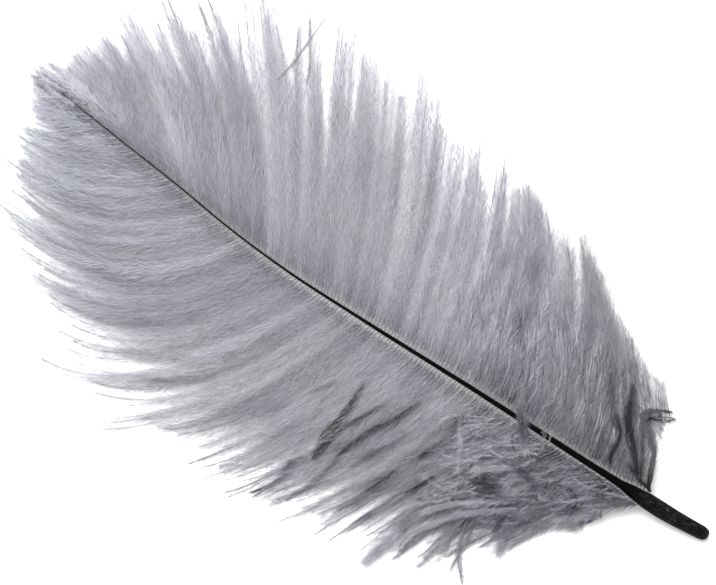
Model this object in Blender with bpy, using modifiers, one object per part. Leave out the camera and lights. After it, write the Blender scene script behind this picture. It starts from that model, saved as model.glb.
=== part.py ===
"""Ostrich feather: one dyed plume lying on a flat surface, outer side up.

The shaft runs along X from the quill's end to the feather's tip, and arches over the surface.
The barbs of each side leave it at an angle, bend towards the tip and droop to the surface.
They are too fine for solids, so each side has a thin domed slab that reaches the barbs' tips:
a vane, and a thicker pad of down beside the quill. Left is +Y. Units are metres.
"""

import math

import bmesh
import bpy
import numpy as np
from mathutils import Vector

# The feather's line. A place on the shaft is 0 at the quill's end and 1 at the shaft's tip.
SHAFT_LENGTH = 0.1974
SHAFT_FROM = Vector((-0.10015, -0.00297, 0.0))  # under the quill's end, so that the box is centred
ARCH = 0.0100  # how far the shaft rises above its ends
END_HEIGHT = 0.0013  # of the shaft's middle line at both ends

# How far the shaft lies left of the straight line between its ends, by place.
BOW = (
    (0.00, 0.0),
    (0.05, 0.00105),
    (0.12, 0.0016),
    (0.21, 0.00215),
    (0.34, 0.00295),
    (0.50, 0.0043),
    (0.62, 0.00495),
    (0.70, 0.0044),
    (0.78, 0.0030),
    (0.88, 0.0017),
    (1.00, 0.0),
)

# The shaft's half width, by place.
HALF_WIDTHS = (
    (0.00, 0.00172),
    (0.03, 0.00188),
    (0.085, 0.00210),
    (0.10, 0.00192),
    (0.115, 0.00124),
    (0.14, 0.00094),
    (0.20, 0.00078),
    (0.34, 0.00059),
    (0.48, 0.00046),
    (0.60, 0.00031),
    (0.80, 0.00018),
    (1.00, 0.00009),
)
QUILL_FLATNESS = 0.88  # height over width of the bare quill's round section
RACHIS_DEPTH = 1.15  # height over width of the section that carries the vane
RACHIS_FROM, RACHIS_FULL = 0.08, 0.16  # where the one section turns into the other
GROOVE = 0.45  # the share of the rachis's lower half that its groove takes
END_ROUNDING = 0.0019  # length of the rounded end of the quill
PIT_DEPTH, PIT_SHARE = 0.0009, 0.35  # the small pit in that end, and its share of the width
SECTION_POINTS = 18
SHAFT_RINGS = 52

# Barbs by place on the shaft: (place, angle at the root, angle at the tip, length, late).
# Angles are in degrees from the shaft's chord, measured from the direction of the feather's tip.
# Where late is above 1, a barb bends most near its tip.
BARBS = {
    "left": (
        (0.09, 40, 62, 0.038, 1.0),
        (0.16, 50, 68, 0.048, 1.0),
        (0.24, 62, 68, 0.048, 1.0),
        (0.36, 76, 54, 0.053, 1.2),
        (0.48, 74, 44, 0.057, 2.0),
        (0.60, 64, -2, 0.063, 1.6),
        (0.72, 56, -8, 0.0535, 1.1),
        (0.84, 44, 2, 0.0275, 1.0),
        (0.93, 34, 12, 0.013, 1.0),
        (1.00, 16, 10, 0.003, 1.0),
    ),
    "right": (
        (0.09, 62, 54, 0.029, 1.0),
        (0.14, 68, 40, 0.037, 1.5),
        (0.24, 84, 40, 0.044, 1.6),
        (0.31, 82, 46, 0.048, 1.6),
        (0.38, 78, 58, 0.050, 2.0),
        (0.48, 72, 60, 0.057, 1.0),
        (0.60, 60, 52, 0.062, 1.0),
        (0.72, 50, 31, 0.0495, 1.0),
        (0.84, 36, 20, 0.030, 1.0),
        (0.93, 25, 16, 0.010, 1.0),
        (1.00, 14, 8, 0.003, 1.0),
    ),
}
SIDES = {"left": 1, "right": -1}
PATH_STEPS = 32

# The slabs.
GAP = 0.0006  # between the shaft and a slab's inner edge
VANE = {"places": (0.25, 1.0), "thickness": 0.0024, "columns": 26, "rows": 10}
DOWN = {"places": (0.09, 0.243), "thickness": 0.0046, "columns": 8, "rows": 10}
FLAT_FROM = 0.8  # past this share of its barbs' length, a slab lies flat on the surface


def clear_scene():
    for old in list(bpy.data.objects):
        bpy.data.objects.remove(old)


def smooth(value):
    """Goes from 0 to 1 with level ends as value goes from 0 to 1."""
    value = min(max(value, 0.0), 1.0)
    return value * value * (3 - 2 * value)


def along(stations, place, column=1):
    """Reads one column of a table by place, on a smooth curve through its rows."""
    places = [row[0] for row in stations]
    values = [row[column] for row in stations]
    slopes = np.gradient(values, places)
    place = min(max(place, places[0]), places[-1])
    i = min(int(np.searchsorted(places, place, side="right")) - 1, len(places) - 2)
    span = places[i + 1] - places[i]
    t = (place - places[i]) / span
    start = values[i] * (1 + 2 * t) * (1 - t) ** 2 + slopes[i] * span * t * (1 - t) ** 2
    end = values[i + 1] * t * t * (3 - 2 * t) - slopes[i + 1] * span * t * t * (1 - t)
    return float(start + end)


def shaft_point(place):
    """The shaft's middle line."""
    sideways = along(BOW, place)
    height = END_HEIGHT + ARCH * math.sin(math.pi * place)
    return SHAFT_FROM + Vector((SHAFT_LENGTH * place, sideways, height))


def shaft_frame(place):
    """(forward, left, up) on the shaft's middle line."""
    step = 0.001
    forward = shaft_point(min(place + step, 1.0)) - shaft_point(max(place - step, 0.0))
    forward.normalize()
    left = Vector((0, 0, 1)).cross(forward).normalized()
    return forward, left, forward.cross(left)


def section_point(angle, half_width, place):
    """(left, up) of a point on the shaft's outline: an oval in the quill, and in the rachis a
    deeper one with squarer sides and a groove along the underside."""
    rachis = smooth((place - RACHIS_FROM) / (RACHIS_FULL - RACHIS_FROM))
    power = 1 - 0.22 * rachis
    depth = QUILL_FLATNESS + (RACHIS_DEPTH - QUILL_FLATNESS) * rachis
    c, s = math.cos(angle), math.sin(angle)
    left = math.copysign(abs(c) ** power, c) * half_width
    up = math.copysign(abs(s) ** power, s) * half_width * depth
    if s < 0:
        up *= 1 - GROOVE * rachis * (1 - abs(c)) ** 1.5
    return left, up


def shaft_rings():
    """(place, half width) of each ring, from inside the quill's pit to the feather's tip."""
    whole = HALF_WIDTHS[0][1]
    rounding = END_ROUNDING / SHAFT_LENGTH
    yield PIT_DEPTH / SHAFT_LENGTH, whole * PIT_SHARE * 0.6
    for turn in (18, 38, 58, 76):
        rim = PIT_SHARE + (1 - PIT_SHARE) * math.sin(math.radians(turn))
        yield rounding * (1 - math.cos(math.radians(turn))), whole * rim
    for i in range(SHAFT_RINGS):
        place = rounding + (1 - rounding) * i / (SHAFT_RINGS - 1)
        yield place, along(HALF_WIDTHS, place)


def make_shaft():
    """The quill and rachis, one piece: rings of a changing section, joined in a row."""
    bm = bmesh.new()
    rings = []
    for place, half_width in shaft_rings():
        forward, left, up = shaft_frame(place)
        ring = []
        for i in range(SECTION_POINTS):
            angle = 2 * math.pi * (i + 0.5) / SECTION_POINTS
            across, above = section_point(angle, half_width, place)
            ring.append(bm.verts.new(shaft_point(place) + left * across + up * above))
        rings.append(ring)
    for ring, after in zip(rings, rings[1:]):
        for i in range(SECTION_POINTS):
            j = (i + 1) % SECTION_POINTS
            bm.faces.new((ring[i], ring[j], after[j], after[i]))
    bm.faces.new(rings[0])
    bm.faces.new(rings[-1])
    bmesh.ops.recalc_face_normals(bm, faces=bm.faces)
    return finish_mesh(bm, "shaft", make_material("charcoal_horn", (0.012, 0.011, 0.012), 0.34))


def barb_points(side, place):
    """The plan of the longest barbs rooted at this place: points at even steps, as (x, y)."""
    table, turn = BARBS[side], SIDES[side]
    root_angle, tip_angle, length, late = (along(table, place, column) for column in (1, 2, 3, 4))
    steps = (np.arange(PATH_STEPS) + 0.5) / PATH_STEPS
    angles = np.radians(root_angle + (tip_angle - root_angle) * steps**late)
    stride = length / PATH_STEPS
    _, left, _ = shaft_frame(place)
    root = shaft_point(place) + left * turn * (along(HALF_WIDTHS, place) + GAP)
    x = root.x + stride * np.concatenate([[0], np.cumsum(np.cos(angles))])
    y = root.y + stride * np.concatenate([[0], np.cumsum(turn * np.sin(angles))])
    return x, y


def slab_point(side, place, share, thickness):
    """The slab's middle surface at this share of the barbs' length. It droops from the shaft's
    height to half its thickness, so that its underside lies on the surface past FLAT_FROM."""
    x, y = barb_points(side, place)
    at = np.linspace(0, 1, PATH_STEPS + 1)
    low = thickness / 2
    droop = smooth(share / FLAT_FROM)
    height = max(shaft_point(place).z, low)
    return Vector((np.interp(share, at, x), np.interp(share, at, y), height + (low - height) * droop))


def make_slab(name, side, form, material):
    """A flat grid laid along the barbs, and thickened."""
    first, last = form["places"]
    bm = bmesh.new()
    bmesh.ops.create_grid(bm, x_segments=form["columns"], y_segments=form["rows"], size=0.5)
    for vert in bm.verts:
        place = first + (last - first) * (vert.co.x + 0.5)
        vert.co = slab_point(side, place, vert.co.y + 0.5, form["thickness"])
    if SIDES[side] < 0:
        bmesh.ops.reverse_faces(bm, faces=bm.faces)
    obj = finish_mesh(bm, name, material)
    shell = obj.modifiers.new("thickness", "SOLIDIFY")
    shell.thickness = form["thickness"]
    shell.offset = 0
    return obj


def make_material(name, colour, roughness):
    material = bpy.data.materials.new(name)
    material.use_nodes = True
    shader = material.node_tree.nodes["Principled BSDF"]
    shader.inputs["Base Color"].default_value = (*colour, 1)
    shader.inputs["Roughness"].default_value = roughness
    shader.inputs["Metallic"].default_value = 0
    return material


def finish_mesh(bm, name, material):
    mesh = bpy.data.meshes.new(name)
    bm.to_mesh(mesh)
    bm.free()
    mesh.materials.append(material)
    mesh.shade_smooth()
    mesh.set_sharp_from_angle(angle=math.radians(50))
    obj = bpy.data.objects.new(name, mesh)
    bpy.data.collections["ostrich_feather"].objects.link(obj)
    return obj


def main():
    clear_scene()
    parts = bpy.data.collections.new("ostrich_feather")
    bpy.context.scene.collection.children.link(parts)
    make_shaft()
    barbs = make_material("grey_barbs", (0.40, 0.40, 0.43), 0.8)
    down = make_material("grey_down", (0.27, 0.27, 0.29), 0.85)
    for side in SIDES:
        make_slab(side + "_vane", side, VANE, barbs)
        make_slab(side + "_down", side, DOWN, down)


main()
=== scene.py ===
"""The looks of an ostrich feather: a dyed grey plume that lies on a pale table, outer side up.

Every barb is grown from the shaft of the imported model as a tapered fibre, and carries two rows of
barbules, the fine ribbons that make a plume fluffy. Barbs lie in locks, which draw together towards
their tips. Lengths are in millimetres until a mesh is made. Places on the shaft are 0 at the quill's
end and 1 at the shaft's tip, and a share is 0 at a barb's root and 1 at its tip.
"""

import math

import bpy
import numpy as np
from mathutils import Matrix


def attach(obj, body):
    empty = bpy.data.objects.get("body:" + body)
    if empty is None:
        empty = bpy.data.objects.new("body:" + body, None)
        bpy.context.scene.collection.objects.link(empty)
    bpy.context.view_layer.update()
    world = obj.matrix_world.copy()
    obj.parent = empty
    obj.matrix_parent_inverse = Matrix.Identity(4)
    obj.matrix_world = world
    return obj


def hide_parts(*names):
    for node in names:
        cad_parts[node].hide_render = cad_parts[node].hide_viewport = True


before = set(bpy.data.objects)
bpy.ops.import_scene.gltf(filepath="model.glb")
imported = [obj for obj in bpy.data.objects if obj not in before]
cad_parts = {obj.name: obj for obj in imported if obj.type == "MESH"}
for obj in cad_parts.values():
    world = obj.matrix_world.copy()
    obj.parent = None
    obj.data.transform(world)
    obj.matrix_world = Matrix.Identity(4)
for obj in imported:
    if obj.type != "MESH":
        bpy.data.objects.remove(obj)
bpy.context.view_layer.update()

MM = 0.001
SEED = 13

# The barbs by place on the shaft: (place, angle at the root, angle at the tip, length, late). Angles are
# in degrees from the shaft's chord, measured from the direction of the feather's tip. Where late is above
# 1, a barb bends most near its tip.
ROOT_ANGLE, TIP_ANGLE, LENGTH, LATE = range(1, 5)
BARBS = {
    "left": (
        (0.09, 40, 62, 38, 1.0),
        (0.16, 50, 68, 48, 1.0),
        (0.24, 62, 68, 48, 1.0),
        (0.36, 76, 54, 53, 1.2),
        (0.48, 74, 44, 57, 2.0),
        (0.60, 64, -2, 63, 1.6),
        (0.72, 56, -8, 53.5, 1.1),
        (0.84, 44, 2, 27.5, 1.0),
        (0.93, 34, 12, 13, 1.0),
        (1.00, 16, 10, 3.0, 1.0),
    ),
    "right": (
        (0.09, 62, 54, 29, 1.0),
        (0.14, 68, 40, 37, 1.5),
        (0.24, 84, 40, 44, 1.6),
        (0.31, 82, 46, 48, 1.6),
        (0.38, 78, 58, 50, 2.0),
        (0.48, 72, 60, 57, 1.0),
        (0.60, 60, 52, 62, 1.0),
        (0.72, 50, 31, 49.5, 1.0),
        (0.84, 36, 20, 30, 1.0),
        (0.93, 25, 16, 10, 1.0),
        (1.00, 14, 8, 2.5, 1.0),
    ),
}
SIDES = {"left": 1, "right": -1}

# How neighbouring barbs lie together in locks, by place: barbs in a lock, the share where they start to
# draw together, how far they close, how much the outer ones fall short, how far a lock and a single
# barb turn aside in degrees, how wide they sway in mm, how dark the painted shade is where a lock lies
# over the next, and the part of the barbules that hug a barb at its tip.
SIZE, START, CLOSE, SHORT, TURN, STRAY, SWAY, SHADE, HUG = range(1, 10)
LOCKS = {
    "left": (
        (0.09, 5, 0.40, 0.22, 0.14, 4.5, 5.0, 1.0, 0.8, 0.3),
        (0.25, 5, 0.55, 0.18, 0.10, 2.0, 4.0, 0.6, 0.8, 0.3),
        (0.42, 5, 0.62, 0.20, 0.10, 1.5, 3.5, 0.4, 0.6, 0.35),
        (0.55, 4, 0.66, 0.28, 0.10, 2.2, 3.5, 0.4, 0.3, 0.4),
        (0.75, 4, 0.68, 0.25, 0.10, 1.6, 3.0, 0.25, 0.2, 0.4),
        (1.00, 2, 0.70, 0.15, 0.05, 1.0, 1.5, 0.05, 0.1, 0.2),
    ),
    "right": (
        (0.09, 5, 0.55, 0.12, 0.08, 1.0, 2.5, 0.4, 0.9, 0.1),
        (0.25, 4, 0.75, 0.05, 0.03, 0.3, 0.7, 0.15, 0.5, 0.0),
        (0.50, 5, 0.75, 0.08, 0.04, 0.4, 0.6, 0.15, 0.3, 0.05),
        (0.64, 7, 0.78, 0.20, 0.14, 0.9, 1.5, 0.2, 0.3, 0.45),
        (0.88, 6, 0.76, 0.18, 0.15, 0.9, 1.8, 0.2, 0.2, 0.4),
        (1.00, 3, 0.70, 0.20, 0.10, 1.5, 2.0, 0.05, 0.1, 0.2),
    ),
}
# The painted shadows of the folds on the left, where one lock lies over the next: (how dark, width at the
# start and the end, route). A route's points are (x, y) in mm, x from the quill's end along the shaft's
# chord, and y to its left. The painted shade lies on the quill's side of the route.
FOLD_SHADOWS = (
    (7.6, 1.0, 4.2, ((90.5, 17.5), (90.5, 23), (91, 28.5), (91.5, 33), (90, 38.5))),
    (6.0, 0.9, 1.6, ((83.5, 18), (86.5, 24), (89.5, 29.5), (90, 33.5))),
    (4.6, 1.1, 2.0, ((77, 13.5), (79.5, 20), (82.5, 24.5), (84.5, 30), (85.5, 34.5))),
    (4.8, 1.2, 2.2, ((85.5, 35.5), (86, 40), (87.5, 45), (89, 49), (91, 54.5))),
    (4.6, 1.8, 3.2, ((94.5, 39), (94.5, 44), (95, 50), (97.5, 54))),
    (4.2, 1.0, 1.6, ((75, 21), (77.5, 26.5), (79.5, 30.5), (81, 34.5))),
    (4.0, 1.2, 2.0, ((65.5, 16), (68, 20), (69, 24.5))),
    (4.0, 1.2, 2.0, ((61.5, 22), (64, 26.5), (65.5, 30), (67, 33))),
    (3.5, 0.8, 1.0, ((96.5, 20.5), (98, 23), (99.5, 25.5))),
    (2.5, 1.2, 1.6, ((103, 31), (106, 36))),
    (4.4, 1.0, 1.8, ((72, 30), (74, 36), (77.5, 45))),
    (3.8, 1.0, 1.4, ((66, 29), (69, 36), (71, 41), (73, 46))),
)

BARB_SPACING = 0.95
BARB_STEPS = 28
RAMUS_RADIUS = (0.115, 0.075, 0.028)  # at the root, a little way out, and at the tip
RAMUS_SIDES = 3
BARBULES_PER_MM = 9.8  # on each side of a barb
BARBULE_LENGTH = 3.6
BARBULE_WIDTH = 0.056
# How densely the barbules stand, by share.
BARBULE_DENSITY = ((0.0, 1.35), (0.15, 1.0), (0.3, 0.9), (0.7, 0.9), (0.85, 0.9), (1.0, 0.7))
CRIMP_LENGTH = 1.7  # how far apart the waves lie in which barbules clump, along a barb
QUILL_CLEAR = 19.0  # the curls on the left start this far from the quill's end, and then fan out
CALAMUS_LENGTH = 22.0  # of the bare quill below the first barbs
TABLE_GAP = 0.12  # the lowest that a fibre's middle line lies over the table
SUPPORT_REACH = 1.3  # how near in plan barbs lie that hold up a strand
STRAND_ZONES = (0.42, 0.6)  # strands rest on barbs below the first place, and near the tip above the second

# Loose strands, each a bundle of a few fibres: (fibres, how far they spread in mm, tone, barbules' size,
# part of the barbules that hug the strand, ramus thickness, lift, route). Routes are as for FOLD_SHADOWS.
QUILL_STRANDS = (
    (5, 0.40, -2.6, 0.50, 0.5, 1.5, 0.8, ((30, -1), (31, -3), (31.5, -6.5), (32.5, -9), (35.5, -12))),
    (3, 0.70, 1.8, 0.70, 0.5, 0.8, 0.7, ((32.5, -9), (35.5, -11), (38, -14), (42, -19))),
    (8, 0.70, -3.2, 0.50, 0.5, 1.5, 1.2, ((23, -3), (25, -5), (27.5, -7.5), (30, -10), (32, -12),
                                         (33.5, -14.5), (34.5, -17), (36, -20))),
    (4, 0.50, 0.6, 0.50, 0.6, 1.2, 1.2, ((21.5, -1.5), (24, -6.5), (27, -11), (29, -14.5))),
    (8, 0.75, 2.6, 0.45, 0.6, 1.4, 1.4, ((19, -1.5), (21, -5.5), (22.5, -9), (25, -11.5), (28, -13.5),
                                        (30, -15.5), (29.5, -17), (27.5, -18.5), (24.5, -20))),
    (4, 0.55, 0.5, 0.50, 0.5, 1.6, 1.5, ((28.5, -14.5), (28, -16), (25, -17.5), (23, -19))),
    (4, 0.80, -2.5, 0.40, 0.8, 2.0, 0.9, ((18, -1), (20.5, -1.5), (23, -2), (26.5, -3.5))),
)
# Pale strands that lie over the down on the left, and dark ones between them, partly dark dye and partly
# painted shade in the gaps.
LEFT_STRANDS = (
    (3, 0.35, 0.5, 0.50, 0.6, 0.8, 0.5, ((66.5, 9), (66, 10.5), (63, 15), (59.5, 21))),
    (3, 0.30, 1.4, 0.55, 0.7, 1.2, 0.8, ((63.5, 25.5), (64.5, 28), (68.5, 36.5), (72, 44.5), (75.5, 53))),
    (4, 0.50, 0.9, 0.65, 0.5, 1.0, 1.0, ((43, 19), (47.5, 22), (52.5, 26), (57, 30), (60.5, 34.5))),
    (4, 0.50, 0.9, 0.65, 0.5, 1.0, 1.1, ((41.5, 20.5), (47.5, 25), (54, 31.5), (59.5, 39.5), (60.5, 44.5))),
    (3, 0.45, 0.9, 0.65, 0.5, 1.0, 0.9, ((47.5, 12), (52.5, 15.5), (57.5, 19.5))),
    (2, 0.30, 0.4, 0.50, 0.5, 0.8, 0.7, ((57, 26), (61.5, 27), (65, 27))),
    (6, 0.90, -3.4, 0.70, 0.4, 1.4, 0.7, ((58.5, 21.5), (53.5, 20), (49, 17))),
    (6, 0.90, -3.2, 0.70, 0.4, 1.4, 0.7, ((57, 27.5), (51, 23), (45.5, 18))),
    (4, 0.60, -3.0, 0.60, 0.4, 1.4, 0.7, ((40.5, 22), (43, 25), (44, 29))),
    (4, 0.60, -3.0, 0.60, 0.4, 1.4, 0.7, ((52, 12), (48, 12.5), (43, 13), (39, 15))),
    (3, 0.70, -0.6, 0.70, 0.5, 1.2, 0.5, ((51.5, 31.5), (52, 37), (54, 46))),
    (3, 0.50, -0.8, 0.60, 0.6, 1.2, 0.5, ((49.5, 28.5), (48, 34), (47, 42))),
    (3, 0.60, -0.8, 0.60, 0.6, 1.2, 0.5, ((50.5, 30), (48, 37), (43, 43))),
    (5, 1.50, 0.4, 1.00, 0.1, 0.8, 0.4, ((62, 37.5), (63, 44.5), (65, 52.5))),
    (3, 1.00, 0.2, 0.90, 0.3, 0.8, 0.4, ((43, 20), (41.5, 26), (39.5, 32.5))),
    (2, 0.15, -3.5, 0.45, 0.8, 2.0, 0.9, ((39, 12.5), (39, 11), (36.5, 9.5), (33.5, 9.5), (31.5, 11),
                                          (31.5, 13.5), (33.5, 15.5), (35.5, 16))),
    (2, 0.15, 0.9, 0.45, 0.8, 1.2, 0.9, ((38, 13), (38, 11), (36, 10.5), (34, 11))),
    (2, 0.30, -3.0, 0.35, 0.9, 2.6, 0.7, ((25.5, 13), (26, 14), (27, 14), (27, 14.5))),
    (6, 1.20, 0.6, 0.70, 0.2, 0.8, 0.4, ((24.5, 10), (26.5, 13), (29, 16), (32, 18))),
)
# The tufts that lie across the shaft.
CROSSING_STRANDS = (
    (9, 1.00, -3.0, 0.60, 0.5, 1.0, 0.9, ((57, -3), (55.5, 0), (53, 2.5), (51, 5.5), (48.5, 8))),
    (2, 0.20, -3.5, 0.40, 0.9, 2.0, 0.7, ((54.5, 1), (53.5, 3.5), (53.5, 7), (51.5, 9), (49, 8.5))),
    (2, 0.25, -0.2, 0.30, 0.8, 1.2, 0.8, ((48.5, -1), (48, 1), (47, 2.5), (46, 4.5))),
    (3, 0.30, -0.2, 0.30, 0.8, 1.2, 0.8, ((46.5, -2.5), (46, 0.5), (45.5, 3))),
    (1, 0.00, 2.2, 0.35, 0.9, 2.5, 0.7, ((49.5, -7), (50, -5), (51.5, -3))),
    (1, 0.00, -4.5, 0.35, 0.9, 3.0, 0.7, ((46.5, -9.5), (45.5, -7), (45, -5))),
    (1, 0.00, -4.0, 0.35, 0.9, 2.5, 0.5, ((42.5, -1.5), (42, -0.5), (41.5, 0))),
)
TOP_STRANDS = (
    (5, 0.60, 1.6, 0.70, 0.3, 0.6, 0.1, ((180, -2), (186, -3), (192, -4), (197.5, -4))),
    (5, 0.50, 1.4, 0.60, 0.3, 0.6, 0.1, ((184, -1), (189, -2), (194, -2), (199, -2))),
    (4, 0.35, 1.2, 0.45, 0.4, 0.6, 0.1, ((190, -0.5), (193, 0), (196, 0), (199.5, -0.5))),
    (4, 0.35, 1.0, 0.45, 0.4, 0.6, 0.1, ((186, 1), (190.5, 1), (195, 1), (198.5, 1))),
    (2, 0.20, 0.0, 0.45, 0.9, 1.0, 0.3, ((149.5, -32), (148.5, -38), (148.5, -43), (148.5, -51))),
    (2, 0.20, 0.0, 0.45, 0.9, 1.0, 0.5, ((143, -35), (145, -39.5), (149, -45), (152.5, -50.5))),
)
# Strands strewn over an area: (strands, x range, y range, heading in degrees and how much it grows by
# each mm away from the shaft, how far strands differ from it, length range, how far one turns, tone,
# lift, barbules' size, ramus thickness, part of the barbules that hug the strand, their density, how
# much paler the ramus is).
QUILL_HAZE = ((14, (24, 32), (-24, -15), (45, 0), 14, (6, 9), 10, 2.8, 0.6, 0.7, 0.3, 0.2, 0.5, 0.0),)
RIGHT_FIBRES = (
    (90, (28, 70), (-21, -2), (74, -0.9), 5, (5, 11), 5, -3.4, 0.5, 0.25, 1.0, 0.6, 0.3, 0.0),
    (170, (28, 84), (-24, -2), (74, -0.9), 5, (5, 12), 5, 2.0, 0.6, 0.25, 1.0, 0.6, 0.3, 2.0),
)
LEFT_CURLS = (
    (64, (27, 66), (5, 33), (33, 0.8), 12, (8, 18), 14, 0.6, 0.9, 0.42, 0.5, 0.45, 0.8, 0.8),
    # The second row's dark curls under the pale ones are partly painted shade.
    (26, (26, 62), (5, 28), (33, 0.8), 14, (7, 16), 16, -2.9, 0.6, 0.6, 0.6, 0.3, 1.0, 0.0),
    (30, (26, 60), (5, 28), (33, 0.8), 25, (5, 11), 30, -0.5, 0.8, 0.8, 0.4, 0.1, 0.7, 0.0),
)

TABLE_SIZE = 5000.0  # past the edges of every view
VIEW_MIDDLE = (103.96, -0.68)  # counted as routes are
VIEW_WIDTH = 173.988  # at the feather's middle height
VIEW_ROLL = math.radians(34.57)  # from the shaft's chord
CAMERA_HEIGHT = 1200.0
FEATHER_MIDDLE_HEIGHT = 5.0

# The pieces on each side: (name, node, first place, last place).
PIECES = (
    ("vane_tip_barbs", "vane", 0.66, 1.0),
    ("vane_middle_barbs", "vane", 0.44, 0.66),
    ("vane_base_barbs", "vane", 0.245, 0.44),
    ("down_barbs", "down", 0.09, 0.245),
)


def smooth(x, low=0.0, high=1.0):
    """0 below low, 1 above high, and a smooth step between."""
    t = np.clip((x - low) / (high - low), 0, 1)
    return t * t * (3 - 2 * t)


def unit(vectors):
    return vectors / np.linalg.norm(vectors, axis=-1, keepdims=True)


def along(table, place, column):
    """Reads one column of a table by place, on a smooth curve through its rows."""
    rows = np.array(table, float)
    places, values = rows[:, 0], rows[:, column]
    slopes = np.gradient(values, places)
    place = np.clip(place, places[0], places[-1])
    i = np.clip(np.searchsorted(places, place, side="right") - 1, 0, len(places) - 2)
    span = places[i + 1] - places[i]
    t = (place - places[i]) / span
    start = values[i] * (1 + 2 * t) * (1 - t) ** 2 + slopes[i] * span * t * (1 - t) ** 2
    end = values[i + 1] * t * t * (3 - 2 * t) - slopes[i + 1] * span * t * t * (1 - t)
    return start + end


class Shaft:
    """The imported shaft's middle line and half width by place, in mm, read from its mesh."""

    def __init__(self, node, slices=60):
        points = np.array([v.co for v in node.data.vertices]) / MM
        x = points[:, 0]
        self.start, self.end = x.min(), x.max()
        edges = np.linspace(self.start, self.end, slices + 1)
        rows = []
        for low, high in zip(edges, edges[1:]):
            ring = points[(x >= low) & (x <= high)]
            if len(ring) >= 6:
                middle = (ring.max(0) + ring.min(0)) / 2
                half = (ring[:, 1].max() - ring[:, 1].min()) / 2
                rows.append((ring[:, 0].mean(), middle[1], middle[2], half))
        self.rows = np.array(rows)
        self.origin = np.array([self.start, self.at(0, 1)])  # the quill's end, from which routes count

    def at(self, place, column):
        x = self.start + (self.end - self.start) * np.asarray(place)
        return np.interp(x, self.rows[:, 0], self.rows[:, column])

    def root(self, side, place):
        """Where a barb leaves the shaft: on its side, a little above its middle."""
        x = self.start + (self.end - self.start) * np.asarray(place)
        y = self.at(place, 1) + SIDES[side] * self.at(place, 3) * 0.8
        z = self.at(place, 2) + self.at(place, 3) * 0.25
        return np.stack([x, y, z], -1)


def plan(shaft, side, place, turn=0.0, reach=1.0):
    """The barbs' lines in plan, (barb, step, xy). turn adds degrees to their tips' angle, and reach
    scales their length."""
    place = np.asarray(place, float)[:, None]
    root_angle, tip_angle, length, late = (
        along(BARBS[side], place, column) for column in (ROOT_ANGLE, TIP_ANGLE, LENGTH, LATE)
    )
    tip_angle = tip_angle + np.reshape(turn, (-1, 1))
    share = (np.arange(BARB_STEPS) + 0.5) / BARB_STEPS
    angle = np.radians(root_angle + (tip_angle - root_angle) * share**late)
    stride = length * np.reshape(reach, (-1, 1)) / BARB_STEPS
    steps = np.stack([np.cos(angle) * stride, SIDES[side] * np.sin(angle) * stride], -1)
    path = np.concatenate([np.zeros_like(steps[:, :1]), np.cumsum(steps, 1)], 1)
    return path + shaft.root(side, place[:, 0])[:, None, :2]


def noise(rng, count, share, waves=(1.0, 2.3)):
    """Smooth random curves along the share, (count, step), about 1 high, and 0 at the root."""
    total = np.zeros((count, len(share)))
    for wave in waves:
        size = rng.normal(size=(count, 1)) / wave
        phase = rng.uniform(0, 2 * math.pi, (count, 1))
        total += size * np.sin(2 * math.pi * wave * share + phase)
    return total * share**1.3


def noise_flat(rng, count, share, waves):
    """Smooth random curves along the share, (count, step), about 1 high, also at the root."""
    total = np.zeros((count, len(share)))
    for wave in waves:
        size = rng.normal(size=(count, 1)) / math.sqrt(len(waves))
        total += size * np.sin(2 * math.pi * (wave * share + rng.random((count, 1))))
    return total


def deal_locks(locks, place, rng):
    """Parts the barbs into locks: each barb's lock, its offset from the lock's middle, and its number
    from the lock's last barb."""
    count = len(place)
    lock = np.zeros(count, int)
    i, number = 0, 0
    while i < count:
        size = max(2, int(round(along(locks, place[i], SIZE) * rng.uniform(0.5, 1.5))))
        lock[i : i + size] = number
        i, number = i + size, number + 1
    first = np.searchsorted(lock, np.arange(number))
    size = np.bincount(lock)
    order = np.arange(count) - first[lock]
    offset = (order - (size[lock] - 1) / 2) / np.maximum(size[lock] / 2, 1)
    return lock, offset, size[lock] - 1 - order


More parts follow.
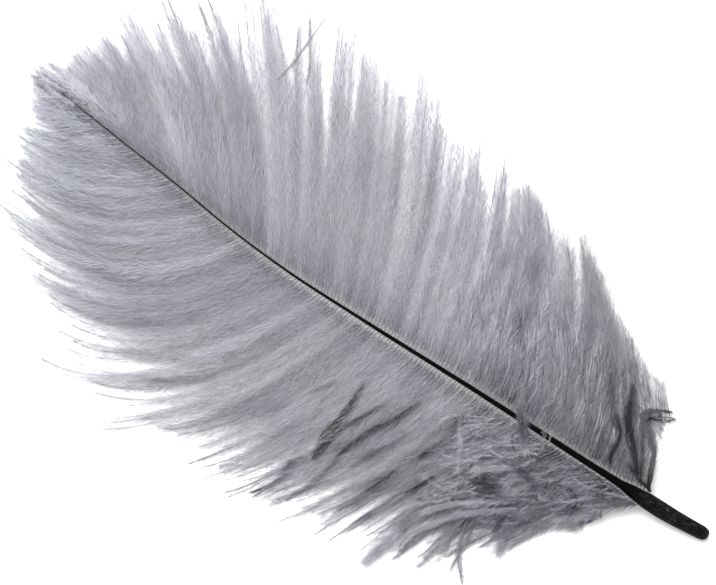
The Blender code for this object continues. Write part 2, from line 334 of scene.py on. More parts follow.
class Barbs:
    """One side's barbs: how they part into locks, where they lie, and how dark they are."""

    def __init__(self, shaft, side, rng):
        self.shaft, self.side, self.rng = shaft, side, rng
        first = BARBS[side][0][0]
        self.count = int(round((1 - first) * (shaft.end - shaft.start) / BARB_SPACING))
        even = np.arange(self.count) + 0.5 + rng.normal(size=self.count) * 0.15
        self.place = first + (1 - first) * even / self.count
        self.lock, self.offset, self.behind = deal_locks(LOCKS[side], self.place, rng)
        self.number = self.lock[-1] + 1
        middle = np.array([self.place[self.lock == i].mean() for i in range(self.number)])
        self.aim = middle + rng.uniform(-0.3, 0.3, self.number) * np.bincount(self.lock) / self.count
        self.share = np.linspace(0, 1, BARB_STEPS + 1)
        # The vane is thick and rough towards the quill, where a veil of loose barbs fringes the right side.
        self.coarse = 1 - smooth(self.place, 0.35, 0.50)
        self.veil = 1 - smooth(self.place, 0.20, 0.34) if side == "right" else np.zeros(self.count)
        self.set_reach()

    def habit(self, column):
        """One of the columns of LOCKS, by barb."""
        return along(LOCKS[self.side], self.place, column)

    def set_reach(self):
        """How far each barb turns aside and how long it is: the outer ones of a lock fall short. Some
        loose barbs reach beyond the rest as thin wisps, most of all at the middle on the left."""
        rng, count, short, left = self.rng, self.count, self.habit(SHORT), self.side == "left"
        self.lock_turn = rng.normal(size=self.number)[self.lock] * self.habit(TURN)
        self.own_turn = rng.normal(size=count) * self.habit(STRAY)
        reach = 1.0 + short * 0.4 + rng.normal(size=self.number)[self.lock] * 0.05
        reach *= (1 - short * np.abs(self.offset) ** 1.6) * (1 + 0.04 * rng.normal(size=count))
        self.loose = rng.random(count) < 0.3
        self.upper = rng.random(count) < 0.3
        self.wisp = self.loose & (rng.random(count) < (0.4 if left else 0.12 * (self.place > 0.5)))
        far = 0.16 * bump(self.place, 0.35, 0.85) if left else 0.04
        uneven = self.loose * rng.uniform(-0.08, 0.04, count)
        reach *= 1 + uneven + self.wisp * far * rng.uniform(0.5, 1.2, count)
        self.reach = reach * (1 + 0.10 * self.veil * self.loose)

    def lie_flat(self):
        """The lines in plan, (barb, step, xy). Towards their tips the barbs of a lock draw together."""
        rng, lock, number, share = self.rng, self.lock, self.number, self.share
        own = plan(self.shaft, self.side, self.place, self.lock_turn + self.own_turn, self.reach)
        aside = self.lock_turn + 0.6 * self.own_turn
        shared = plan(self.shaft, self.side, self.aim[lock], aside, self.reach)
        close = self.habit(CLOSE) * rng.uniform(0.6, 1.3, number)[lock] * (1 - 0.7 * self.loose)
        start = self.habit(START)[:, None]
        draw = close[:, None].clip(0, 0.95) * smooth(share[None], start, 1.05)
        flat = own + (shared - own) * draw[..., None]

        step = unit(np.gradient(flat, axis=1))
        across = np.stack([-step[..., 1], step[..., 0]], -1)
        sway = self.habit(SWAY)[:, None]
        wave = noise(rng, number, share)[lock] * sway
        wave += noise(rng, self.count, share, (1.7, 3.3)) * sway * 0.25
        crimp = smooth(share, 0.02, 0.15) * (1 - 0.8 * smooth(share, 0.4, 0.8)) * 0.10
        waver = noise_flat(rng, number, share, (5, 8))[lock] + noise_flat(rng, self.count, share, (6, 11))
        return flat + across * (wave + waver * crimp)[..., None]

    def rise(self):
        """The heights, (barb, step), and how high each barb is piled, (barb, 1)."""
        rng, lock, share = self.rng, self.lock, self.share
        top = self.shaft.root(self.side, self.place)[:, 2:3]
        drop = smooth(share[None] / 0.85)
        pile = 0.6 + 1.4 * rng.random(self.number)[lock] + 0.6 * rng.random(self.count)
        pile = pile[:, None]
        height = top + (TABLE_GAP + pile * (1 - share) ** 0.7 - top) * drop
        height += noise(rng, self.number, share)[lock] * 0.4
        height += noise(rng, self.count, share, (2.0, 5.0)) * 0.3
        arch = np.sin(math.pi * share)
        height -= 0.45 * self.habit(SHADE)[:, None] * self.offset[:, None] * arch**1.5
        height += 0.5 * (self.upper[:, None] - 0.25) * arch
        return np.maximum(height, TABLE_GAP), pile

    def tones(self, pile):
        """How pale the barbs are, (barb, step), with painted shade where locks overlap, near the shaft and
        low in the pile.
        """
        rng, count, lock, number, share = self.rng, self.count, self.lock, self.number, self.share
        coarse, veil, loose, upper = (
            field[:, None] for field in (self.coarse, self.veil, self.loose, self.upper)
        )
        # Locks, and patches along them, differ most where the vane is rough.
        tone = 0.4 * rng.normal(size=number)[lock][:, None]
        tone = tone + 0.4 * noise_flat(rng, number, share, (0.8, 2.2))[lock]
        # Barbs piled low are painted darker, as painted shade between the layers.
        tone += 0.6 * noise_flat(rng, count, share, (1.3, 3.6)) + 0.4 * (pile - 1.6)
        tone += 0.9 * coarse * noise_flat(rng, count, share, (4.0, 7.0))
        tone *= 0.45 + 0.55 * coarse
        # The raised upper barbs are painted paler, as painted light on the top layer.
        tone += (0.35 + 0.3 * coarse) * rng.normal(size=(count, 1)) + 0.9 * (upper - 0.25)
        # Where a lock lies over the next, painted shade darkens it.
        begins, lasts = rng.uniform(0.25, 0.55, number)[lock], rng.uniform(0.2, 0.4, number)[lock]
        strength = self.habit(SHADE) * rng.uniform(0.3, 1.1, number)[lock] * np.exp(-self.behind / 1.2)
        tone -= strength[:, None] * bump(share, begins[:, None], (begins + lasts)[:, None])
        # Close to the shaft the barbs are darkened with painted shade, where the gaps between them lie in
        # shadow.
        length = along(BARBS[self.side], self.place, LENGTH)[:, None]
        run = share * self.reach[:, None] * length
        gap = 1.2 + 1.4 * (1 - smooth(self.place[:, None], 0.15, 0.40))
        tone -= gap * (1 - smooth(run / np.clip(length * 0.3, 1.0, 9.0), 0.1, 1.0))
        tone += (1.2 + 1.5 * veil) * loose * smooth(share, 0.5, 0.8)
        return tone + 1.1 * veil


def grow_barbs(shaft, side, rng):
    """Every barb of one side, with what add_rami and Barbules need."""
    barbs = Barbs(shaft, side, rng)
    place, coarse, upper = barbs.place, barbs.coarse, barbs.upper
    flat = barbs.lie_flat()
    height, pile = barbs.rise()
    line = np.concatenate([flat, height[..., None]], -1)
    tone = barbs.tones(pile)
    fluff = (1 + 0.25 * barbs.loose) * np.clip(along(BARBS[side], place, LENGTH) / 16, 0.35, 1)
    fluff *= 1 - 0.1 * coarse
    if side == "right":
        fluff *= 1 + 0.35 * bump(place, 0.05, 0.50) + 0.15 * bump(place, 0.50, 0.95)
    black = upper & (rng.random(barbs.count) < 0.4 * coarse)
    return dress(
        line, place, tone, fluff,
        thick=1 + (0.15 + 0.45 * coarse) * upper,
        hug=0.08 * coarse + (0.25 + 0.15 * coarse) * upper,
        tip_hug=np.where(barbs.wisp, 0.85, barbs.habit(HUG) * ~barbs.loose),
        dense=1 - 0.4 * barbs.veil * barbs.loose,
        shine=np.where(black, -2.6, 2.2) * upper,
    )


def painted_fold_shade(points):
    """How dark the painted shadows of the folds are at points, in mm from the quill's end along the chord,
    and to its left.
    """
    shade = np.zeros(len(points))
    for dark, start_width, end_width, route in FOLD_SHADOWS:
        path = curve_through(route)
        low, high = path.min(0) - 2 * end_width, path.max(0) + 2 * end_width
        inside = np.flatnonzero(((points > low) & (points < high)).all(1))
        gap = points[inside, None] - path
        near = (gap**2).sum(-1).argmin(-1)
        gap = gap[np.arange(len(inside)), near]
        ahead = unit(np.gradient(path, axis=0)[near])
        off = gap[:, 1] * ahead[:, 0] - gap[:, 0] * ahead[:, 1]
        beyond = (gap * ahead).sum(-1)
        t = near / (len(path) - 1)
        spread = (start_width + (end_width - start_width) * t) * (1 - 0.7 * smooth(t, 0.75, 1))
        spread = np.where(off > 0, spread, 0.3)
        ends = np.where((near == 0) | (near == len(path) - 1), np.exp(-((beyond / 0.8) ** 2)), 1)
        depth = dark * np.exp(-((off / spread) ** 2)) * ends * (0.6 + 0.4 * t)
        shade[inside] = np.maximum(shade[inside], depth)
    return shade


def bump(share, begin, end):
    """A smooth hill between two shares."""
    return smooth(share, begin, (begin + end) / 2) * (1 - smooth(share, (begin + end) / 2, end))


def dress(line, place, tone, fluff=1.0, thick=1.0, hug=0.0, tip_hug=0.0, dense=1.0, shine=0.0):
    """Gathers barbs for add_rami and Barbules: their lines (barb, step, xyz), place and tone by
    step, the scales of the barbules and of the ramus, the part of the barbules that hug it along the
    barb and at its tip, their density, and how much paler than them the ramus is."""
    count = len(line)
    barbs = {"line": line, "place": np.broadcast_to(place, count)}
    barbs["tone"] = np.broadcast_to(tone, line.shape[:2])
    scales = {"fluff": fluff, "thick": thick, "hug": hug, "tip_hug": tip_hug, "dense": dense, "shine": shine}
    for key, value in scales.items():
        barbs[key] = np.broadcast_to(value, count)
    return barbs


def join(*groups):
    return {key: np.concatenate([group[key] for group in groups]) for key in groups[0]}


def pick(barbs, chosen):
    return {key: value[chosen] for key, value in barbs.items()}


# ---- Loose strands


def cloud_of(shaft, *groups):
    """Points on top of the barbs and of the shaft, for strands to rest on."""
    share = np.linspace(0, 1, 240)
    ridge = [shaft.start + (shaft.end - shaft.start) * share, shaft.at(share, 1), shaft.at(share, 2)]
    ridge[2] = ridge[2] + shaft.at(share, 3) * 0.9
    return np.concatenate([np.stack(ridge, -1), *(barbs["line"].reshape(-1, 3) for barbs in groups)])


def rest_on(cloud, flat, lift):
    """Lays lines in plan, (strand, step, xy), on the highest points of the cloud near them."""
    gap = ((flat[:, :, None] - cloud[None, None, :, :2]) ** 2).sum(-1)
    height = np.where(gap < SUPPORT_REACH**2, cloud[:, 2], TABLE_GAP).max(-1)
    padded = np.pad(height, ((0, 0), (3, 3)), "edge")
    height = sum(padded[:, i : i + height.shape[1]] for i in range(7)) / 7
    return np.concatenate([flat, (height + lift)[..., None]], -1)


def curve_through(points):
    """A smooth curve through a route's points, in even steps."""
    points = np.array(points, float)
    slopes = np.gradient(points, axis=0)
    t = np.linspace(0, len(points) - 1, 200)
    i = np.minimum(t.astype(int), len(points) - 2)
    s = (t - i)[:, None]
    path = points[i] * (1 + 2 * s) * (1 - s) ** 2 + slopes[i] * s * (1 - s) ** 2
    path += points[i + 1] * s * s * (3 - 2 * s) - slopes[i + 1] * s * s * (1 - s)
    run = np.concatenate([[0], np.cumsum(np.linalg.norm(np.diff(path, axis=0), axis=1))])
    even = np.linspace(0, run[-1], BARB_STEPS + 1)
    return np.stack([np.interp(even, run, path[:, k]) for k in (0, 1)], -1)


def lay_strands(shaft, cloud, rows, rng):
    """The bundles with routes of their own. A bundle is widest at its middle."""
    share = np.linspace(0, 1, BARB_STEPS + 1)
    bundles = []
    for number, spread, tone, fluff, hug, thick, lift, route in rows:
        path = curve_through(route) + shaft.origin
        ahead = unit(np.gradient(path, axis=0))
        across = np.stack([-ahead[:, 1], ahead[:, 0]], -1)
        offset = rng.uniform(-1, 1, (number, 1)) + 0.5 * noise_flat(rng, number, share, (0.7, 1.9))
        offset *= spread * (0.35 + 0.65 * np.sin(math.pi * share))
        flat = path + across * offset[..., None]
        line = rest_on(cloud, flat, lift + 0.25 * rng.random((number, 1)))
        place = np.full(number, (path[0, 0] - shaft.start) / (shaft.end - shaft.start))
        tones = tone * np.sin(math.pi * (0.04 + 0.92 * share)) ** 0.8
        tones = tones + 0.7 * noise_flat(rng, number, share, (1.5, 4)) + 0.5 * rng.normal(size=(number, 1))
        bundles.append(dress(line, place, tones, fluff, 0.55 * thick, hug, shine=max(tone, 0) * 0.5))
    return join(*bundles)


def strew_strands(shaft, cloud, rows, rng):
    """Curled strands strewn over areas."""
    share = np.linspace(0, 1, BARB_STEPS + 1)
    groups = []
    for count, x, y, heading, spread, length, curl, tone, lift, fluff, thick, hug, dense, shine in rows:
        side = math.copysign(1, y[0] + y[1])
        start_x, start_y = rng.uniform(*x, count), rng.uniform(*y, count)
        if side > 0:
            start_y = start_y * np.clip((start_x - QUILL_CLEAR) * 1.1 / max(y), 0, 1)
        start = np.stack([start_x, start_y], -1)
        reach = rng.uniform(*length, count)
        turn = heading[0] + heading[1] * np.abs(start_y) + rng.normal(size=count) * spread
        angle = turn[:, None] + noise_flat(rng, count, share, (0.5, 1.2)) * curl
        angle = np.radians(angle + rng.normal(size=(count, 1)) * curl * share)
        steps = np.stack([np.cos(angle), side * np.sin(angle)], -1) * (reach / BARB_STEPS)[:, None, None]
        flat = start[:, None] + np.cumsum(steps, 1) - steps.sum(1, keepdims=True) / 2
        # Strands stay on their own side of the shaft.
        ridge = np.interp(flat[..., 0] + shaft.origin[0], shaft.rows[:, 0], shaft.rows[:, 1])
        beyond = (side * (ridge - shaft.origin[1] - flat[..., 1]) + 2.0).max(1).clip(0)
        flat[..., 1] += side * beyond[:, None]
        line = rest_on(cloud, flat + shaft.origin, lift * rng.uniform(0.3, 1.0, (count, 1)))
        line[..., 2] += 0.25 * noise_flat(rng, count, share, (1, 2.5))
        line[..., 2] = np.maximum(line[..., 2], TABLE_GAP)
        place = start_x / (shaft.end - shaft.start)
        tones = tone + 0.6 * rng.normal(size=(count, 1)) + 0.6 * noise_flat(rng, count, share, (1, 3))
        groups.append(dress(line, place, tones, fluff, thick, hug, dense=dense, shine=shine))
    return join(*groups)


# ---- Fibres as meshes


def frames(line):
    """(tangent, level, upper) unit vectors along each line: level lies across it, in the level plane."""
    tangent = unit(np.gradient(line, axis=1))
    level = np.stack([-tangent[..., 1], tangent[..., 0], np.zeros(tangent.shape[:2])], -1)
    level /= np.maximum(np.linalg.norm(level, axis=2, keepdims=True), 1e-9)
    return tangent, level, np.cross(tangent, level)


class FibreMesh:
    """Triangles gathered for one mesh: points, corners, and by point the four values that the materials
    read, and the place on the OFBake map."""

    def __init__(self):
        self.points, self.faces, self.values, self.maps, self.total = [], [], [], [], 0

    def add(self, points, faces, values, places):
        def spread(fields):
            fields = [np.broadcast_to(field, points.shape[:-1]) for field in fields]
            return np.stack(fields, -1).reshape(-1, len(fields))

        self.points.append(points.reshape(-1, 3))
        self.faces.append(faces.reshape(-1, 3) + self.total)
        self.values.append(spread(values))
        self.maps.append(spread(places))
        self.total += len(self.points[-1])

    def paint_fold_shadows(self, origin):
        # Darkens the tone with the painted shadows of the folds.
        for points, values in zip(self.points, self.values):
            values[:, 0] -= painted_fold_shade(points[:, :2] - origin)

    def mesh(self, name):
        points = np.concatenate(self.points).astype(np.float32) * MM
        faces = np.concatenate(self.faces).astype(np.int32)
        values = np.concatenate(self.values).astype(np.float32)
        places = np.concatenate(self.maps).astype(np.float32)
        mesh = bpy.data.meshes.new(name)
        mesh.vertices.add(len(points))
        mesh.vertices.foreach_set("co", points.ravel())
        mesh.loops.add(faces.size)
        mesh.loops.foreach_set("vertex_index", faces.ravel())
        mesh.polygons.add(len(faces))
        mesh.polygons.foreach_set("loop_start", np.arange(0, faces.size, 3, dtype=np.int32))
        mesh.update(calc_edges=True)
        for i, title in enumerate(("tone", "share", "spread", "place")):
            attribute = mesh.attributes.new(title, "FLOAT", "POINT")
            attribute.data.foreach_set("value", np.ascontiguousarray(values[:, i]))
        layer = mesh.uv_layers.new(name="OFBake")
        layer.uv.foreach_set("vector", places[faces.ravel()].ravel())
        mesh.shade_smooth()
        return mesh


def add_rami(fibres, barbs):
    """The barbs' own fibres: tapered tubes, drawn to a point at the tip."""
    line = barbs["line"]
    count, steps = line.shape[:2]
    _, level, upper = frames(line)
    share = np.linspace(0, 1, steps)
    run = share * np.linalg.norm(np.diff(line, axis=1), axis=2).sum(1, keepdims=True)
    thick, middle, thin = RAMUS_RADIUS
    radius = thin + (middle - thin) * (1 - share) + (thick - middle) * (1 - smooth(run, 0, 6))
    radius = radius * barbs["thick"][:, None]
    angle = 2 * math.pi * (np.arange(RAMUS_SIDES) + 0.25) / RAMUS_SIDES
    spoke = level[:, :, None] * np.cos(angle)[:, None] + upper[:, :, None] * np.sin(angle)[:, None]
    points = line[:, :, None] + spoke * radius[..., None, None]
    index = np.arange(points.size // 3).reshape(count, steps, RAMUS_SIDES)
    a, b = index[:, :-1], index[:, 1:]
    c, d = np.roll(a, -1, 2), np.roll(b, -1, 2)
    faces = np.stack([np.stack([a, c, d], -1), np.stack([a, d, b], -1)], -2)
    # Close to the shaft the rami are darkened with the same painted shade, in place of their own tone.
    out = smooth(run, 1, 9)
    root_shade = 1.8 + 1.4 * (1 - smooth(barbs["place"], 0.12, 0.35))
    tone = (barbs["tone"] + barbs["shine"][:, None]) * out - root_shade[:, None] * (1 - out)
    tone = tone + 1.5 * smooth(share, 0.75, 1.0)
    values = (tone[:, :, None], share[:, None], 0.0, barbs["place"][:, None, None])
    band = (np.arange(count)[:, None, None] + 0.5 + 0.10 * (np.arange(RAMUS_SIDES) - 1)) / count
    fibres.add(points, faces, values, (share[:, None], band))


class Barbules:
    """A row of barbules along one edge of every barb, the right one where edge is -1 and the left one
    where it is 1. Each is a bent ribbon of two triangles. Most stand away from the barb. Towards its
    tip more and more of them hug it, and the rest are finer."""

    def __init__(self, barbs, edge, rng):
        self.barbs, self.edge, self.rng = barbs, edge, rng
        self.count, self.steps = barbs["line"].shape[:2]
        self.length = np.linalg.norm(np.diff(barbs["line"], axis=1), axis=2).sum(1)
        self.number = np.maximum((self.length * BARBULES_PER_MM * barbs["dense"]).astype(int), 8)
        self.barb = np.repeat(np.arange(self.count), self.number)
        self.total = len(self.barb)
        self.share = self.spread_out()
        self.near_root = 1 - smooth(self.share * self.length[self.barb], 0.5, 6.0)
        self.near_tip = smooth(self.share, 0.60, 0.95)
        hugging = np.maximum(self.of("hug"), self.of("tip_hug") * self.near_tip)
        self.hug = rng.random(self.total) < hugging

    def spread_out(self):
        """The shares where they stand, as densely as BARBULE_DENSITY says."""
        even = np.linspace(0, 1, 101)
        filled = np.cumsum(np.interp(even, *zip(*BARBULE_DENSITY)))
        filled = (filled - filled[0]) / (filled[-1] - filled[0])
        order = np.arange(self.total) - np.repeat(np.cumsum(self.number) - self.number, self.number)
        order = (order + self.rng.uniform(0.1, 0.9, self.total)) / self.number[self.barb]
        return 0.01 + 0.985 * np.interp(order, filled, even)

    def of(self, key):
        return self.barbs[key][self.barb]

    def read(self, field):
        """A field that the barbs have by step, where the barbules stand."""
        place = self.share * (self.steps - 1)
        i = np.minimum(place.astype(int), self.steps - 2)
        t = (place - i)[:, None]
        field = field.reshape(self.count, self.steps, -1)
        return field[self.barb, i] * (1 - t) + field[self.barb, i + 1] * t

    def clump(self, size):
        """Waves along the barbs, in which their barbules clump."""
        pace = self.rng.uniform(0.7, 1.4, self.count)[self.barb]
        waves = self.length[self.barb] / CRIMP_LENGTH * self.share * pace
        return size * np.sin(2 * math.pi * (waves + self.rng.random(self.count)[self.barb]))

    def ribbons(self):
        """Their corners, (barbule, corner, xyz): the root, an edge, the tip, the other edge."""
        rng, total, hug, near_root, near_tip = self.rng, self.total, self.hug, self.near_root, self.near_tip
        root = self.read(self.barbs["line"])
        ahead, beside, above = (self.read(field) for field in frames(self.barbs["line"]))
        beside *= self.edge
        size = BARBULE_LENGTH * self.of("fluff") * (1 - 0.40 * near_root)
        size *= (1 - 0.12 * near_tip) * (1 - 0.25 * smooth(self.share, 0.93, 1.0)) * np.where(hug, 0.6, 1.0)
        size *= rng.uniform(0.5, 1.3, total) + self.clump(0.08)
        lean = np.where(hug, 6 + rng.normal(size=total) * 4, 22 + 6 * near_tip + rng.normal(size=total) * 8)
        lean = np.radians(lean + 6 * near_root + self.clump(3))
        bend = np.radians(np.where(hug, -2, -12) + rng.normal(size=total) * 8)
        lift = 0.03 - 0.55 * near_root + rng.normal(size=total) * np.where(hug, 0.08, 0.2) + self.clump(0.10)
        sag = lift - 0.15 + rng.normal(size=total) * 0.12

        def head(angle, rise):
            flat = ahead * np.cos(angle)[:, None] + beside * np.sin(angle)[:, None]
            return flat + above * rise[:, None]

        first, second = head(lean, lift), head(lean + bend, sag)
        middle = root + first * (0.5 * size)[:, None]
        tip = middle + second * (0.5 * size)[:, None]
        side = unit(np.cross(first, above))
        roll = rng.normal(size=total)[:, None] * 0.7
        side = side * np.cos(roll) + above * np.sin(roll)
        width = BARBULE_WIDTH * rng.uniform(0.7, 1.3, total) * np.where(hug, 1.0, 1 - 0.30 * near_tip)
        half = side * (0.5 * width * (1 + 0.4 * near_root))[:, None]
        points = np.stack([root, middle - half, tip, middle + half], 1)
        points[..., 2] = np.maximum(points[..., 2], 0.03)
        return points

    def tones(self):
        """How pale they are."""
        tone = self.read(self.barbs["tone"])[:, 0] + self.rng.normal(size=self.total) * 0.3
        paler = 1.2 * smooth(self.share, 0.55, 0.9) + 1.4 * smooth(self.share, 0.85, 1.0)
        return tone + self.clump(0.2) + np.where(self.hug, -0.4 * self.near_tip, paler)

    def add_to(self, fibres):
        points, tone, share = self.ribbons(), self.tones(), self.share
        index = np.arange(self.total * 4).reshape(-1, 4)
        faces = np.stack([index[:, [0, 1, 3]], index[:, [1, 2, 3]]], 1)
        out = np.array([0.15, 0.5, 1.0, 0.5])  # how far out each corner lies on the barbule
        values = (tone[:, None], share[:, None], out, self.of("place")[:, None])
        cell = 0.5 / self.number[self.barb]
        band = (self.barb[:, None] + 0.5 + self.edge * np.array([0.12, 0.3, 0.48, 0.3])) / self.count
        fibres.add(points, faces, values, (np.stack([share, share - cell, share, share + cell], 1), band))


def build_piece(shaft, name, barbs, node, material, rng):
    """One mesh of barbs or strands, in place of a node's plain slab."""
    fibres = FibreMesh()
    add_rami(fibres, barbs)
    for edge in (-1, 1):
        Barbules(barbs, edge, rng).add_to(fibres)
    # On the left, the painted shadows of the folds darken the tone.
    if node.startswith("left"):
        fibres.paint_fold_shadows(shaft.origin)
    mesh = fibres.mesh(name)
    mesh.materials.append(material)
    piece = bpy.data.objects.new(name, mesh)
    bpy.context.scene.collection.objects.link(piece)
    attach(piece, "root")
    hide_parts(node)
    print("PIECE", name, "barbs", len(barbs["place"]), "triangles", len(mesh.polygons))


# ---- Shader maths

MIX_FACTOR, MIX_A, MIX_B, MIX_RESULT = 0, 6, 7, 2  # a Mix node's colour sockets


class Value:
    """A socket with operators: an expression on values adds its Math nodes."""

    def __init__(self, tree, socket):
        self.tree, self.socket = tree, socket

    def math(self, operation, *others):
        return self.tree.node("ShaderNodeMath", {"operation": operation}, self, *others)

    def __add__(self, other):
        return self.math("ADD", other)

    def __radd__(self, other):
        return self.math("ADD", other)

    def __sub__(self, other):
        return self.math("SUBTRACT", other)

    def __rsub__(self, other):
        return (self * -1.0) + other

    def __mul__(self, other):
        return self.math("MULTIPLY", other)

    def __rmul__(self, other):
        return self.math("MULTIPLY", other)

    def clamp(self):
        return self.tree.node("ShaderNodeClamp", {}, self, 0.0, 1.0)


class Tree:
    """One material's nodes. node() adds any node, and returns its first output as a Value."""

    def __init__(self, name):
        self.material = bpy.data.materials.new(name)
        self.material.use_nodes = True
        self.nodes = self.material.node_tree.nodes
        self.links = self.material.node_tree.links
        self.shader = self.nodes["Principled BSDF"]

    def node(self, kind, settings, *values, sockets=None, output=0):
        made = self.nodes.new(kind)
        for key, value in settings.items():
            if key == "stops":
                self.set_stops(made.color_ramp, value)
            else:
                setattr(made, key, value)
        for key, value in [*enumerate(values), *(sockets or {}).items()]:
            self.feed(made.inputs[key], value)
        return Value(self, made.outputs[output])

    def feed(self, socket, value):
        if isinstance(value, Value):
            self.links.new(value.socket, socket)
        elif socket.type == "RGBA" and len(value) == 3:
            socket.default_value = (*value, 1)
        else:
            socket.default_value = value

    def set_stops(self, ramp, stops):
        while len(ramp.elements) < len(stops):
            ramp.elements.new(0.5)
        for element, (position, colour) in zip(ramp.elements, stops):
            element.position = position
            element.color = (*colour, 1)

    def attribute(self, name):
        return self.node("ShaderNodeAttribute", {"attribute_name": name}, output="Fac")

    def mix(self, factor, a, b, blend="MIX"):
        """a where the factor is 0, and b where it is 1. a and b are colours."""
        settings = {"data_type": "RGBA", "blend_type": blend}
        sockets = {MIX_FACTOR: factor, MIX_A: a, MIX_B: b}
        return self.node("ShaderNodeMix", settings, sockets=sockets, output=MIX_RESULT)

    def noise(self, where, scale, detail=2.0, rough=0.5):
        """Noise from 0 to 1. scale is how many patches fit in a metre."""
        sockets = {"Vector": where, "Scale": scale, "Detail": detail, "Roughness": rough}
        return self.node("ShaderNodeTexNoise", {}, sockets=sockets)

    def ramp(self, value, *stops):
        return self.node("ShaderNodeValToRGB", {"stops": stops}, value)

    def place(self, stretch=(1, 1, 1)):
        """The point on the object in metres, squeezed or stretched by axis."""
        where = self.node("ShaderNodeTexCoord", {}, output="Object")
        settings = {"operation": "MULTIPLY"}
        return self.node("ShaderNodeVectorMath", settings, where, tuple(stretch))

    def bump(self, height, strength, distance):
        sockets = {"Height": height, "Strength": strength, "Distance": distance}
        return self.node("ShaderNodeBump", {}, sockets=sockets)

    def set(self, **sockets):
        for name, value in sockets.items():
            self.feed(self.shader.inputs[name.replace("_", " ")], value)


VIOLET_CAST = (1.0, 0.975, 1.085)
GREEN_CAST = (0.97, 1.0, 1.045)
# How pale the fibres are by place on the shaft.
PALENESS = ((0.10, 0.50), (0.24, 0.58), (0.38, 0.73), (0.60, 0.80), (0.80, 0.91), (0.95, 1.04))


def fibre_material(name, dark, light, ramus_near, ramus_far, green=0.55):
    """Grey dyed keratin. Tone runs from dark to light by lock, by barb and by clump of barbules, and its
    dark end carries painted shade; the dye took with a violet or a greenish cast in patches."""
    tree = Tree(name)
    share, place = tree.attribute("share"), tree.attribute("place")
    on_ramus = (1 - tree.attribute("spread") * 10.0).clamp()
    tone = (tree.attribute("tone") * 0.13 + 0.5).clamp()
    # The ramp's dark end, from black up to the shadow stop, is painted shade: folds, locks that lie over
    # others and the gaps by the shaft.
    black, shadow = dark * 0.2, dark + 0.14 * (light - dark)
    grey = tree.ramp(
        tone,
        (0.0, (black, black * 0.95, black * 1.25)),
        (0.14, (shadow, shadow * 0.965, shadow * 1.15)),
        (1.0, (light,) * 3),
    )
    grey = tree.mix(1.0, grey, tree.ramp(place, *((at, (pale,) * 3) for at, pale in PALENESS)), "MULTIPLY")
    near = tree.ramp(tone, (0.0, (ramus_near * 0.2,) * 3), (1.0, (ramus_near * 1.6,) * 3))
    stops = ((at, (ramus_far * pale,) * 3) for at, pale in ((0.0, 0.1), (0.5, 1.0), (1.0, 3.4)))
    far = tree.ramp(tone, *stops)
    ramus = tree.mix((share * 1.6 - 0.2).clamp(), near, far)
    colour = tree.mix(on_ramus, grey, ramus)
    patch = tree.noise(tree.place(), 70.0)
    cast = tree.ramp(patch, (green - 0.12, VIOLET_CAST), (green + 0.12, GREEN_CAST))
    fine = tree.noise(tree.place(), 900.0, detail=3.0)
    tree.set(
        Base_Color=tree.mix(1.0, colour, cast, "MULTIPLY"),
        Roughness=0.62 + fine * 0.25,
        Specular_IOR_Level=0.22,
    )
    return tree.material


def horn_material(quill_end, calamus_length):
    """Black dyed horn: nearly black along the shaft, and a mottled, scraped charcoal at the quill."""
    tree = Tree("black_dyed_horn")
    where = tree.place()
    x = tree.node("ShaderNodeSeparateXYZ", {}, where)
    bare = (1 - (x - quill_end) * (1 / calamus_length)).clamp()
    bare = (bare * 3.0).clamp()
    blotch = tree.noise(where, 420.0, 4.0, 0.6)
    mottle = tree.ramp(blotch, (0.35, (0.0015,) * 3), (0.75, (0.008, 0.0078, 0.008)))
    scrape = tree.noise(tree.place((0.22, 1, 1)), 2600.0, 3.0, 0.7)
    speck = tree.noise(where, 3200.0, 2.0, 0.5)
    marks = ((scrape - 0.58) * 8.0).clamp() * 0.45 + ((speck - 0.62) * 8.0).clamp() * 0.6
    horn = tree.mix(marks.clamp(), mottle, (0.11, 0.108, 0.105))
    ribs = tree.noise(tree.place((0.05, 1, 1)), 5200.0, 2.0, 0.5)
    tree.set(
        Base_Color=tree.mix(bare, (0.002, 0.002, 0.0023), horn),
        Roughness=0.34 + scrape * 0.3,
        Specular_IOR_Level=0.01,
        Coat_Weight=bare * 0.06,
        Coat_Roughness=0.3,
        Normal=tree.bump(ribs + scrape * 0.6, 0.35, 0.00006),
    )
    return tree.material


# ---- Table, light and camera


def make_stage():
    """A white table under an even white sky, and a softbox to the right of the feather."""
    mesh = bpy.data.meshes.new("table")
    half = TABLE_SIZE / 2 * MM
    corners = [(-half, -half, 0), (half, -half, 0), (half, half, 0), (-half, half, 0)]
    mesh.from_pydata(corners, [], [(0, 1, 2, 3)])
    table = bpy.data.objects.new("table", mesh)
    bpy.context.scene.collection.objects.link(table)
    tree = Tree("pale_table")
    tree.set(Base_Color=(0.93, 0.93, 0.93), Roughness=0.9, Specular_IOR_Level=0.0)
    mesh.materials.append(tree.material)

    world = bpy.data.worlds.new("studio")
    world.use_nodes = True
    background = world.node_tree.nodes["Background"]
    background.inputs["Color"].default_value = (1, 1, 1, 1)
    background.inputs["Strength"].default_value = 0.85
    bpy.context.scene.world = world

    lamp = bpy.data.lights.new("softbox", "AREA")
    lamp.shape, lamp.size, lamp.energy = "SQUARE", 0.8, 24
    softbox = bpy.data.objects.new("softbox", lamp)
    softbox.location = (0.50, -0.40, 1.0)
    softbox.rotation_euler = (-softbox.location).to_track_quat("-Z", "Y").to_euler()
    bpy.context.scene.collection.objects.link(softbox)


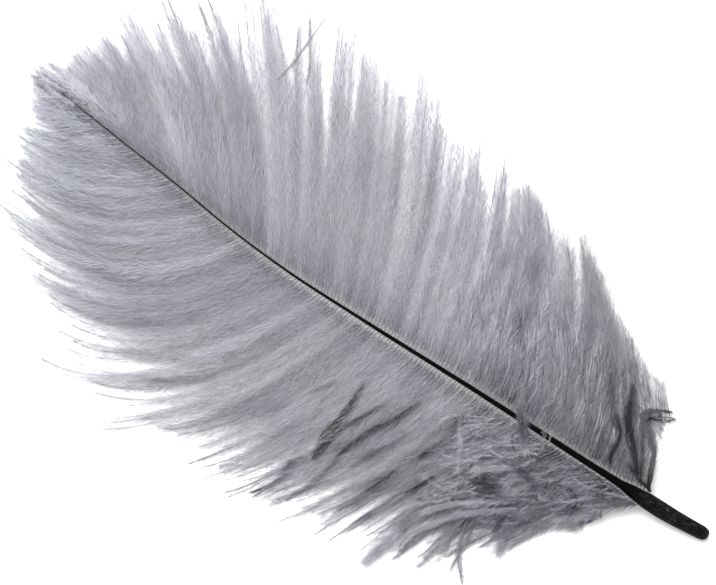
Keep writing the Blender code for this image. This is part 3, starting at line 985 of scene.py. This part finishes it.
def make_camera(shaft):
    """Looks straight down, rolled so that the feather's tip is up and to the left."""
    x, y = (shaft.origin + VIEW_MIDDLE) * MM
    z = CAMERA_HEIGHT * MM
    lens = bpy.data.cameras.new("camera")
    lens.sensor_width = 36
    lens.lens = lens.sensor_width * (CAMERA_HEIGHT - FEATHER_MIDDLE_HEIGHT) / VIEW_WIDTH
    camera = bpy.data.objects.new("camera", lens)
    c, s = math.cos(VIEW_ROLL), math.sin(VIEW_ROLL)
    camera.matrix_world = Matrix(((-c, s, 0, x), (-s, -c, 0, y), (0, 0, 1, z), (0, 0, 0, 1)))
    bpy.context.scene.collection.objects.link(camera)
    bpy.context.scene.camera = camera


# ---- The feather


def build_vanes(shaft, grown, vanes, down):
    pieces = [(side, *row) for side in SIDES for row in PIECES]
    for number, (side, name, part, first, last) in enumerate(pieces):
        barbs = grown[side]
        inside = (barbs["place"] >= first) & (barbs["place"] < last + 1e-9)
        material = down if part == "down" else vanes[side]
        rng = np.random.default_rng(SEED * 100 + number)
        build_piece(shaft, f"{side}_{name}", pick(barbs, inside), f"{side}_{part}", material, rng)


def build_quill_strands(shaft, cloud, black, tuft, rng):
    """The charcoal strands beside the quill, with their hook, and a thin haze round it."""
    strands = lay_strands(shaft, cloud, QUILL_STRANDS, rng)
    build_piece(shaft, "quill_strands", strands, "right_down", black, rng)
    haze = strew_strands(shaft, cloud, QUILL_HAZE, rng)
    build_piece(shaft, "quill_haze", haze, "right_down", tuft, rng)


def build_top_wisps(shaft, barbs, vane, rng):
    wisps = lay_strands(shaft, cloud_of(shaft, barbs), TOP_STRANDS, rng)
    build_piece(shaft, "top_wisps", wisps, "right_vane", vane, rng)


def build_loose_fibres(shaft, cloud, vane, rng):
    """Dark and pale fibres that lie loose on the right vane near the quill, along its barbs."""
    fibres = strew_strands(shaft, cloud, RIGHT_FIBRES, rng)
    build_piece(shaft, "right_loose_fibres", fibres, "right_vane", vane, rng)


def build_down_curls(shaft, cloud, tuft, rng):
    """The tangle left of the quill: pale curls, dark ones under them, partly painted shade, and short curly
    fluff.
    """
    strands = lay_strands(shaft, cloud, LEFT_STRANDS, rng)
    curls = join(strands, strew_strands(shaft, cloud, LEFT_CURLS, rng))
    build_piece(shaft, "left_down_curls", curls, "left_down", tuft, rng)


def build_crossing_tufts(shaft, cloud, tuft, rng):
    crossing = lay_strands(shaft, cloud, CROSSING_STRANDS, rng)
    build_piece(shaft, "crossing_tufts", crossing, "left_down", tuft, rng)


def dye_shaft(shaft):
    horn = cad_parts["shaft"].data.materials
    horn.clear()
    horn.append(horn_material(shaft.start * MM, CALAMUS_LENGTH * MM))


def main():
    shaft = Shaft(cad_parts["shaft"])
    make_stage()
    make_camera(shaft)
    vane = fibre_material("grey_dyed_barbs", 0.08, 0.64, 0.24, 0.16)
    greenish = fibre_material("greenish_grey_dyed_barbs", 0.08, 0.67, 0.24, 0.16, green=0.42)
    down = fibre_material("dark_grey_down", 0.045, 0.56, 0.26, 0.12)
    tuft = fibre_material("pale_grey_down", 0.03, 0.84, 0.26, 0.20)
    black = fibre_material("black_dyed_strands", 0.002, 0.22, 0.02, 0.02)

    grown = {}
    for side, sign in SIDES.items():
        grown[side] = grow_barbs(shaft, side, np.random.default_rng(SEED + sign))
    build_vanes(shaft, grown, {"left": greenish, "right": vane}, down)

    rng = np.random.default_rng(SEED * 1000)
    below, above = STRAND_ZONES
    cloud = cloud_of(shaft, *(pick(barbs, barbs["place"] < below) for barbs in grown.values()))
    build_quill_strands(shaft, cloud, black, tuft, rng)
    build_top_wisps(shaft, pick(grown["right"], grown["right"]["place"] > above), vane, rng)
    build_loose_fibres(shaft, cloud, vane, rng)
    build_down_curls(shaft, cloud, tuft, rng)
    build_crossing_tufts(shaft, cloud, tuft, rng)
    dye_shaft(shaft)
    bpy.context.scene.view_settings.view_transform = "Standard"


main()
